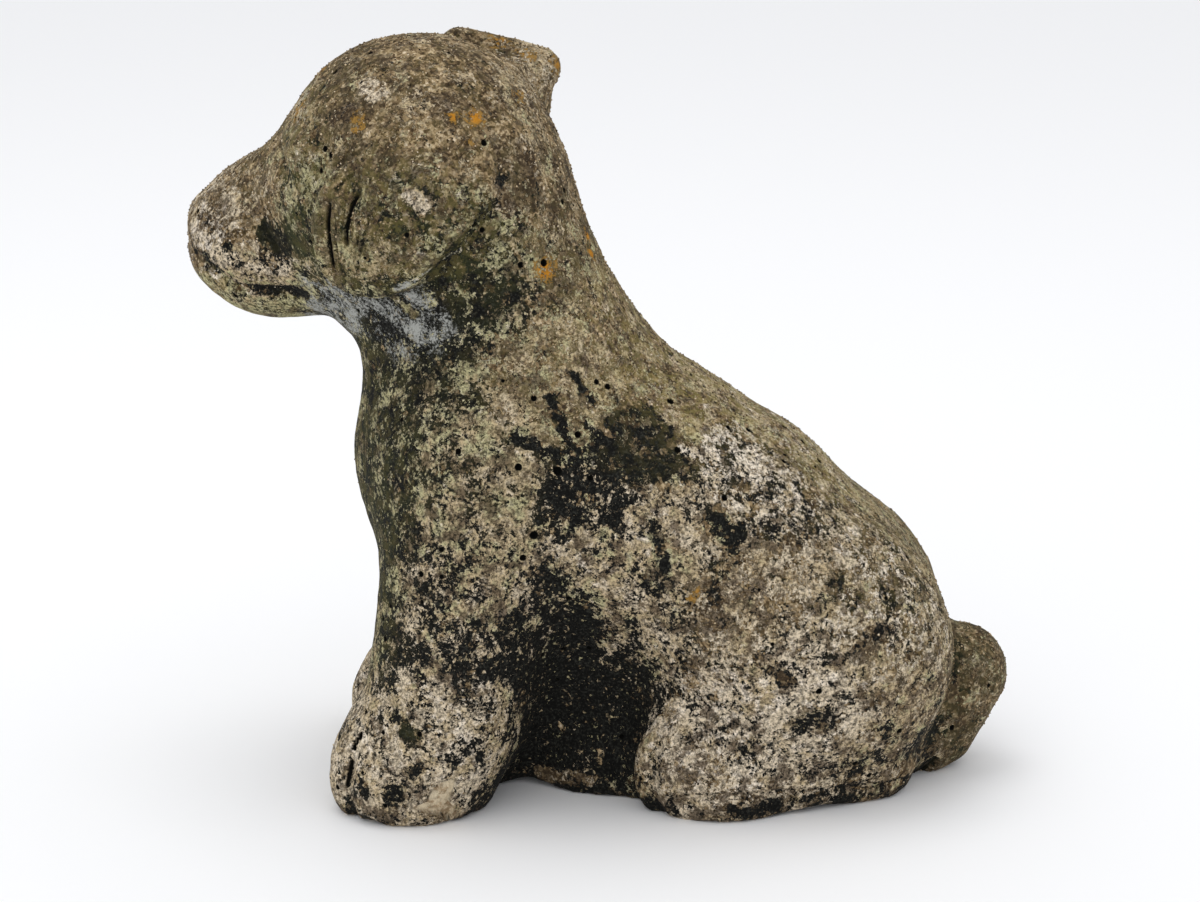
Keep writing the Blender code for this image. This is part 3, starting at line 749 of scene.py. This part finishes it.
def weather(piece, bubbles):
    """Works out how much of each layer lies at each point of the casting, with painted shade on undersides,
    near the ground, in hollows, grooves and burst bubbles.
    """
    mesh = piece.data
    points = points_of(mesh)
    normals = normals_of(mesh)
    amounts = dict(zip(LAYERS, blended(points).T))
    under = ease(-normals[:, 2], *UNDERSIDE)
    low = ease(-points[:, 2], *NEAR_GROUND)
    dip = hollowness(mesh, points, normals, HOLLOW_ROUNDS)
    # Painted shade: undersides, the last units above the ground and hollows get more film and less crust,
    # near the ground more brown, and there and on undersides less pale crust
    film_and_shade = amounts["film_and_shade"] + SHADE_FILM_UNDER * under + SHADE_FILM_LOW * low + dip * SHADE_FILM_HOLLOW
    crust = amounts["crust"] - SHADE_CRUST_UNDER * under - SHADE_CRUST_LOW * low - dip * SHADE_CRUST_HOLLOW
    amounts["film_and_shade"] = np.clip(film_and_shade, 0, 1)
    amounts["crust"] = np.clip(crust, 0, 1)
    amounts["brown"] = np.clip(amounts["brown"] + SHADE_BROWN_LOW * low, 0, 1)
    amounts["white"] = amounts["white"] * (1 - under) * (1 - low)
    # Painted shade inside the grooves and the burst bubbles
    groove_shade = slots(points, GROOVE_DARK_MARGIN)[1]
    bowl_shade = bowls(points, bubbles, BOWL_DARK_MARGIN)[1]
    amounts["pit_shade"] = np.maximum(groove_shade, bowl_shade)
    orange = np.zeros(len(points))
    for middle, radius, bright in ORANGE_SPOTS:
        gap = np.linalg.norm(points - np.array(middle), axis=1)
        orange = np.maximum(orange, bright * np.clip(ORANGE_REACH - gap / radius, 0, 1))
    amounts["orange"] = orange
    amounts["fresh"] = ease(in_chip(points), *CHIP_SOFTNESS)
    shown = np.clip(1 - amounts["film_and_shade"] * FILM_AND_SHADE_HIDES - amounts["white"] * WHITE_HIDES, 0, 1)
    amounts["bare"] = shown * (points[:, 2] > LOWEST_GRAIN)
    for name, values in amounts.items():
        add_layer(mesh, name, values)


def add_node(tree, kind, inputs=None, **settings):
    """A new node in a tree. An input is given as a value, or as the output that it is joined to."""
    node = tree.nodes.new(kind)
    for name, value in settings.items():
        setattr(node, name, value)
    for key, value in (inputs or {}).items():
        if isinstance(value, bpy.types.NodeSocket):
            tree.links.new(value, node.inputs[key])
        else:
            node.inputs[key].default_value = value
    return node


def scattering(material):
    """A node tree that scatters grains over a surface, more of them where it is bare."""
    tree = bpy.data.node_groups.new("sand_grains", "GeometryNodeTree")
    sockets = tree.interface
    sockets.new_socket("Surface", in_out="INPUT", socket_type="NodeSocketGeometry")
    sockets.new_socket("Density", in_out="INPUT", socket_type="NodeSocketFloat")
    sockets.new_socket("Radius", in_out="INPUT", socket_type="NodeSocketFloat")
    sockets.new_socket("Seed", in_out="INPUT", socket_type="NodeSocketInt")
    sockets.new_socket("Grains", in_out="OUTPUT", socket_type="NodeSocketGeometry")

    def add(output, kind, inputs=None, **settings):
        return add_node(tree, kind, inputs, **settings).outputs[output]

    given = add_node(tree, "NodeGroupInput").outputs
    bare = add("Attribute", "GeometryNodeInputNamedAttribute", {"Name": "bare"}, data_type="FLOAT")
    density = add(0, "ShaderNodeMath", {0: given["Density"], 1: bare}, operation="MULTIPLY")
    scatter = {"Mesh": given["Surface"], "Density": density, "Seed": given["Seed"]}
    points = add("Points", "GeometryNodeDistributePointsOnFaces", scatter)
    ball = {"Radius": given["Radius"], "Subdivisions": 1}
    grain = add("Mesh", "GeometryNodeMeshIcoSphere", ball)
    least, most = GRAIN_STRETCH
    size = {"Min": least, "Max": most, "Seed": given["Seed"]}
    stretch = add("Value", "FunctionNodeRandomValue", size, data_type="FLOAT_VECTOR")
    turn = {"Min": (0, 0, 0), "Max": GRAIN_TURN, "Seed": 5}
    turned = add("Value", "FunctionNodeRandomValue", turn, data_type="FLOAT_VECTOR")
    placed = {"Points": points, "Instance": grain, "Rotation": turned, "Scale": stretch}
    grains = add("Instances", "GeometryNodeInstanceOnPoints", placed)
    solid = add("Geometry", "GeometryNodeRealizeInstances", {"Geometry": grains})
    dressed = {"Geometry": solid, "Material": material}
    add_node(tree, "NodeGroupOutput", {"Grains": add("Geometry", "GeometryNodeSetMaterial", dressed)})
    return tree


def sand_grains(piece, material):
    """The coarse grains over the casting, as one plain mesh."""
    surface = bpy.data.objects.new("sand_grains", piece.data.copy())
    bpy.context.scene.collection.objects.link(surface)
    change = surface.modifiers.new("Scatter", "NODES")
    change.node_group = scattering(material)
    values = {"Density": GRAIN_DENSITY / UNIT**2, "Radius": GRAIN_RADIUS * UNIT, "Seed": RANDOM_SEED}
    for socket in change.node_group.interface.items_tree:
        if socket.name in values:
            change[socket.identifier] = values[socket.name]
    keep_result(surface)
    return surface


class Coat:
    """A material being built. Each method adds a node and gives back its output."""

    def __init__(self, name):
        self.material = bpy.data.materials.new(name)
        self.material.use_nodes = True
        self.material.node_tree.nodes.clear()
        self.place = self.add("ShaderNodeTexCoord").outputs["Object"]

    def add(self, kind, inputs=None, **settings):
        return add_node(self.material.node_tree, kind, inputs, **settings)

    def scaled(self, size, seed, stretch):
        """The place on the object, so that one step is one size, moved aside for each seed."""
        scale = [along / (size * UNIT) for along in stretch]
        shift = (seed * 3.7, seed * 5.1, seed * 2.3)
        place = {0: self.place, 1: scale, 2: shift}
        return self.add("ShaderNodeVectorMath", place, operation="MULTIPLY_ADD").outputs[0]

    def noise(self, size, detail=3, rough=0.55, seed=0, stretch=(1, 1, 1), warp=0.0):
        where = self.scaled(size, seed, stretch)
        inputs = {"Vector": where, "Scale": 1.0, "Detail": detail, "Roughness": rough}
        inputs["Distortion"] = warp
        return self.add("ShaderNodeTexNoise", inputs).outputs[0]

    def grains(self, size, seed=0):
        inputs = {"Vector": self.scaled(size, seed, (1, 1, 1)), "Scale": 1.0}
        return self.add("ShaderNodeTexVoronoi", inputs)

    def layer(self, name):
        return self.add("ShaderNodeAttribute", attribute_name=name).outputs["Fac"]

    def math(self, operation, first, second=0.0, third=0.0):
        inputs = {0: first, 1: second, 2: third}
        return self.add("ShaderNodeMath", inputs, operation=operation).outputs[0]

    def plus(self, first, second):
        return self.math("ADD", first, second)

    def times(self, first, second):
        return self.math("MULTIPLY", first, second)

    def step(self, value, low, high, start=0.0, end=1.0):
        inputs = {"Value": value, "From Min": low, "From Max": high, "To Min": start, "To Max": end}
        node = self.add("ShaderNodeMapRange", inputs, interpolation_type="SMOOTHSTEP")
        return node.outputs[0]

    def mix(self, share, first, second, blend="MIX"):
        # Sockets 6 and 7 of this node are its two colours, and output 2 is the mixed one
        inputs = {0: share, 6: opaque(first), 7: opaque(second)}
        node = self.add("ShaderNodeMix", inputs, data_type="RGBA", blend_type=blend)
        return node.outputs[2]

    def ramp(self, value, stops):
        node = self.add("ShaderNodeValToRGB", {0: value})
        shades = node.color_ramp.elements
        while len(shades) < len(stops):
            shades.new(0.5)
        for shade, (place, colour) in zip(shades, stops):
            shade.position = place
            shade.color = (*colour, 1)
        return node.outputs[0]

    def finish(self, colour, roughness, height, relief):
        """Joins the colour, the roughness and the fine relief, in units, to a surface."""
        bump = self.add("ShaderNodeBump", {"Strength": 1.0, "Distance": relief * UNIT, "Height": height})
        inputs = {"Base Color": colour, "Roughness": roughness, "Normal": bump.outputs[0]}
        surface = self.add("ShaderNodeBsdfPrincipled", inputs)
        surface.inputs["Specular IOR Level"].default_value = SHINE
        self.add("ShaderNodeOutputMaterial", {"Surface": surface.outputs[0]})
        return self.material


def opaque(colour):
    """A colour constant with its fourth number, or a socket as it is."""
    return colour if isinstance(colour, bpy.types.NodeSocket) else (*colour, 1)


def channels(coat, colour):
    """The three numbers of a colour, each as a value."""
    return coat.add("ShaderNodeSeparateColor", {0: colour}).outputs


def sand_coat(coat):
    """Bare concrete: sand grains of every shade in a grey-brown binder, stained in places."""
    grain = channels(coat, coat.grains(1.5, seed=1).outputs["Color"])
    small = channels(coat, coat.grains(0.85, seed=17).outputs["Color"])[0]
    broad = coat.noise(8, detail=6, rough=0.68, seed=3)
    shade = coat.plus(coat.times(grain[0], 0.46), coat.times(small, 0.40))
    shade = coat.plus(shade, coat.times(broad, 1.5))
    sand = coat.ramp(coat.plus(shade, -0.74), SAND)
    sand = coat.mix(coat.step(grain[1], 0.6, 1.0, 0.0, 0.3), sand, GREY_SAND)
    stain = coat.noise(11, detail=7, rough=0.68, seed=4)
    amount = coat.plus(coat.times(coat.layer("brown"), 0.2), coat.plus(stain, -0.1))
    stained = coat.times(coat.step(amount, *STAIN_EDGE), coat.step(small, 0.0, 1.0, 0.9, 0.45))
    return coat.mix(stained, sand, BROWN), grain[0]


def film_and_shade_cover(coat):
    """Where the charcoal film and the painted shade laid as film lie: nearly everywhere its layer is high,
    in ragged patches elsewhere.
    """
    field = coat.plus(
        coat.times(coat.noise(8, detail=6, rough=0.66, seed=11, warp=0.3), 0.6),
        coat.times(coat.noise(2.2, detail=4, rough=0.68, seed=21), 0.4),
    )
    amount = coat.plus(field, coat.times(coat.plus(coat.layer("film_and_shade"), -0.5), 0.21))
    return coat.step(amount, *FILM_AND_SHADE_EDGE)


def film_and_shade_coat(coat):
    """The charcoal film, also used as painted shade: nearly black, with a faint pale grain."""
    speck = coat.step(coat.noise(0.9, detail=3, rough=0.7, seed=5), *FILM_SPECKS)
    return coat.mix(speck, FILM_AND_SHADE, FILM_PALE)


def crust_coat(coat, rim):
    """Lichen crust, olive through tan to a warm white, mottled, pale at its rim and grimy in patches."""
    hue = coat.times(coat.plus(coat.noise(8, detail=5, rough=0.66, seed=6), -0.5), 3.0)
    warm = coat.plus(coat.layer("warm"), hue)
    lower = coat.mix(coat.step(warm, 0.05, 0.5), OLIVE_CRUST, TAN_CRUST)
    colour = coat.mix(coat.step(warm, 0.45, 0.95), lower, WARM_CRUST)
    tint = coat.times(coat.plus(coat.noise(4, detail=5, rough=0.68, seed=7), -0.5), 3.0)
    pale = coat.plus(coat.layer("white"), tint)
    colour = coat.mix(coat.step(pale, 0.3, 0.85), colour, WHITE_CRUST)
    colour = coat.mix(coat.times(rim, RIM_STRENGTH), colour, WHITE_CRUST)
    patches = coat.noise(6, detail=7, rough=0.7, seed=18)
    grime = coat.plus(patches, coat.times(coat.layer("brown"), 0.09))
    grime = coat.plus(grime, coat.times(coat.layer("white"), -0.07))
    colour = coat.mix(coat.times(coat.step(grime, *GRIME_EDGE), GRIME_STRENGTH), colour, GRIME)
    mottle = coat.noise(1.1, detail=4, rough=0.78, seed=8)
    worn = coat.step(mottle, 0.38, 0.62, 0.30, 1.28)
    grey = coat.add("ShaderNodeCombineColor", {0: worn, 1: worn, 2: worn}).outputs[0]
    return coat.mix(1.0, colour, grey, "MULTIPLY")


def crust_cover(coat):
    """Where the crust lies: ragged islands with holes and loose flecks around them; and its rim."""
    amount = coat.layer("crust")
    coarse = coat.noise(15, detail=8, rough=0.64, seed=9, warp=0.5)
    middle = coat.noise(5.5, detail=6, rough=0.64, seed=10, stretch=(1.1, 1.1, 0.85), warp=0.5)
    fine = coat.noise(1.3, detail=3, rough=0.72, seed=22)
    field = coat.plus(coat.times(coarse, 0.38), coat.times(middle, 0.42))
    field = coat.plus(field, coat.times(fine, 0.20))
    field = coat.plus(field, coat.times(coat.plus(amount, -0.5), 0.15))
    islands = coat.step(field, *CRUST_EDGE)
    rim = coat.times(coat.step(field, *RIM_START), coat.step(field, *RIM_END, 1.0, 0.0))
    worn_patches = coat.times(coat.noise(6, detail=3, rough=0.6, seed=23), 0.5)
    pepper = coat.plus(coat.noise(1.4, detail=3, rough=0.7, seed=19), worn_patches)
    holes = coat.step(pepper, *CRUST_HOLES)
    flecks = coat.plus(coat.noise(1.6, detail=4, rough=0.7, seed=20), coat.times(amount, 0.1))
    flecks = coat.step(flecks, *CRUST_FLECKS)
    cover = coat.math("MAXIMUM", coat.times(islands, coat.math("SUBTRACT", 1.0, holes)), flecks)
    return cover, rim


def growth(coat, colour):
    """Moss, algae and a powdery bloom over the crust and the film."""
    clumps = coat.step(coat.noise(4, detail=6, rough=0.72, seed=12), *MOSS_EDGE)
    moss = coat.times(coat.layer("moss"), clumps)
    colour = coat.mix(coat.times(moss, MOSS_STRENGTH), colour, MOSS)
    smears = coat.step(coat.noise(6, detail=6, rough=0.68, seed=13), *ALGAE_EDGE)
    algae = coat.times(coat.layer("green"), smears)
    colour = coat.mix(coat.times(algae, ALGAE_STRENGTH), colour, ALGAE)
    dust = coat.noise(0.9, detail=3, rough=0.85, seed=14)
    powder = coat.plus(dust, coat.times(coat.noise(7, detail=4, rough=0.6, seed=24), 0.9))
    powder = coat.plus(powder, coat.times(coat.layer("bloom"), 0.2))
    bloom = coat.times(coat.step(powder, *BLOOM_EDGE), coat.step(coat.layer("bloom"), 0.05, 0.7))
    return coat.mix(coat.times(bloom, BLOOM_STRENGTH), colour, BLOOM)


def weathered_concrete():
    """The finish of the whole casting, from the bare concrete up."""
    coat = Coat("weathered_concrete")
    sand, grain = sand_coat(coat)
    # The film goes over the sand, with the painted shade of undersides, ground and hollows
    colour = coat.mix(film_and_shade_cover(coat), sand, film_and_shade_coat(coat))
    cover, rim = crust_cover(coat)
    colour = growth(coat, coat.mix(cover, colour, crust_coat(coat, rim)))
    patches = coat.step(coat.noise(3.5, detail=6, rough=0.7, seed=15), *BROKEN_EDGE)
    broken = coat.mix(patches, FRESH, FRESH_PALE)
    colour = coat.mix(coat.times(coat.layer("fresh"), FRESH_STRENGTH), colour, broken)
    lobes = coat.times(coat.plus(coat.noise(2.0, detail=4, rough=0.74, seed=16), -0.5), 6.0)
    orange = coat.step(coat.plus(coat.layer("orange"), lobes), *ORANGE_EDGE)
    orange = coat.times(orange, coat.step(coat.layer("orange"), 0.02, 0.2))
    tint = coat.mix(coat.step(coat.layer("orange"), 0.5, 0.9), OCHRE, ORANGE)
    colour = coat.mix(coat.times(orange, ORANGE_STRENGTH), colour, tint)
    # Painted shade, nearly black, inside grooves and burst bubbles
    colour = coat.mix(coat.step(coat.layer("pit_shade"), 0.15, 0.8), colour, PIT_SHADE)
    rough = coat.step(cover, 0, 1, 0.86, 0.95)
    height = coat.plus(coat.times(cover, CRUST_RELIEF), coat.times(grain, GRAIN_RELIEF))
    grit = coat.noise(1.0, detail=3, rough=0.7, seed=8)
    height = coat.plus(height, coat.times(grit, FINE_RELIEF))
    height = coat.plus(height, coat.times(orange, ORANGE_RELIEF))
    return coat.finish(colour, rough, height, RELIEF)


def grain_finish():
    """The coarse grains, each of its own shade of sand."""
    coat = Coat("sand_grain")
    shade = coat.times(coat.noise(1.6, detail=1, rough=0.5, seed=31), 2.4)
    colour = coat.ramp(coat.plus(shade, -0.72), SAND)
    fine = coat.noise(0.5, detail=2, rough=0.6, seed=32)
    return coat.finish(colour, roughness=0.8, height=fine, relief=0.1)


def plain_material(name, colour, roughness):
    """A plain surface for the studio."""
    material = bpy.data.materials.new(name)
    material.use_nodes = True
    surface = material.node_tree.nodes["Principled BSDF"]
    surface.inputs["Base Color"].default_value = colour
    surface.inputs["Roughness"].default_value = roughness
    return material


def studio_floor():
    """A wide pale floor."""
    work = bmesh.new()
    bmesh.ops.create_circle(work, cap_ends=True, segments=64, radius=FLOOR_RADIUS)
    mesh = bpy.data.meshes.new("studio_floor")
    work.to_mesh(mesh)
    work.free()
    floor = bpy.data.objects.new("studio_floor", mesh)
    bpy.context.scene.collection.objects.link(floor)
    mesh.materials.append(plain_material("studio_white", FLOOR_COLOUR, 0.9))


def area_light(name, place, width, watts, colour):
    """A soft square light at one place, turned to where they all aim."""
    light = bpy.data.lights.new(name, "AREA")
    light.shape = "SQUARE"
    light.size = width
    light.energy = watts
    light.color = colour
    lamp = bpy.data.objects.new(name, light)
    lamp.location = place
    lamp.rotation_euler = (Vector(LIGHT_AIM) - Vector(place)).to_track_quat("-Z", "Y").to_euler()
    bpy.context.scene.collection.objects.link(lamp)


def studio_light():
    """An even bright surround, a soft light overhead and a weak one from the upper left."""
    world = bpy.data.worlds.new("studio_surround")
    world.use_nodes = True
    surround = world.node_tree.nodes["Background"]
    surround.inputs["Color"].default_value = SKY_COLOUR
    surround.inputs["Strength"].default_value = SKY_STRENGTH
    bpy.context.scene.world = world
    for name, settings in LIGHTS.items():
        area_light(name, *settings)


def studio_camera():
    """The camera: level across, looking down a little on the puppy's left side."""
    lens = bpy.data.cameras.new("studio_camera")
    lens.lens = CAMERA_LENS
    lens.sensor_width = SENSOR_WIDTH
    lens.clip_start = 0.05
    camera = bpy.data.objects.new("studio_camera", lens)
    back = CAMERA_DISTANCE * math.cos(CAMERA_RISE)
    up = CAMERA_DISTANCE * math.sin(CAMERA_RISE)
    camera.location = Vector(CAMERA_AIM) + Vector((0, -back, up))
    camera.rotation_euler = (math.pi / 2 - CAMERA_RISE, 0, 0)
    bpy.context.scene.collection.objects.link(camera)
    bpy.context.scene.camera = camera


studio_camera()
studio_light()
studio_floor()
puppy, burst = casting()
weather(puppy, burst)
puppy.data.materials.append(weathered_concrete())
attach(puppy, "root")
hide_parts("puppy")
grains = sand_grains(puppy, grain_finish())
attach(grains, "root")
bpy.context.scene.view_settings.view_transform = "Standard"
